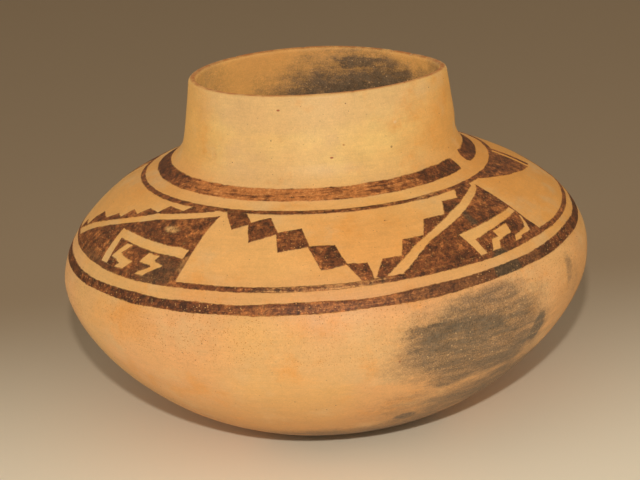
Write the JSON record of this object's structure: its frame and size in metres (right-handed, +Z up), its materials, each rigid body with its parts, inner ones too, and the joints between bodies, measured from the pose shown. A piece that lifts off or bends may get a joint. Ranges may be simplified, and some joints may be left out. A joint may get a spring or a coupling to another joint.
{
  "type": "pottery jar",
  "caption": "Low, wide-shouldered coil-built pottery jar with a short neck, an open mouth, a flat resting base and a shoulder painted with framed stepped and lightning motifs.",
  "frame": {"origin": "centre of the flat base, on the plane that the jar stands on", "axes": "+Z up along the jar's axis of revolution; -Y is the front, the side that the picture shows; +X is the front's right"},
  "size_m": [0.23, 0.23, 0.1495],
  "materials": {
    "clay": "satin, stone-polished, unglazed",
    "paint": "matt mineral paint, fired on"
  },
  "bodies": {
    "root": {"moulded_base": "clay", "belly_coil_1": "clay", "belly_coil_2": "clay", "belly_coil_3": "clay", "belly_coil_4": "clay", "belly_coil_5": "clay", "shoulder_coil_1": "clay", "shoulder_coil_2": "clay", "shoulder_coil_3": "clay", "shoulder_coil_4": "clay", "neck_coil_1": "clay", "neck_coil_2": "clay", "rim_coil": "clay", "neck_band": "paint", "neck_line": "paint", "frame_line": "paint", "frame_band": "paint", "stepped_fringes": "paint", "lightning_panels": "paint", "diamond_chains": "paint", "hanging_triangles": "paint"}
  },
  "joints": []
}
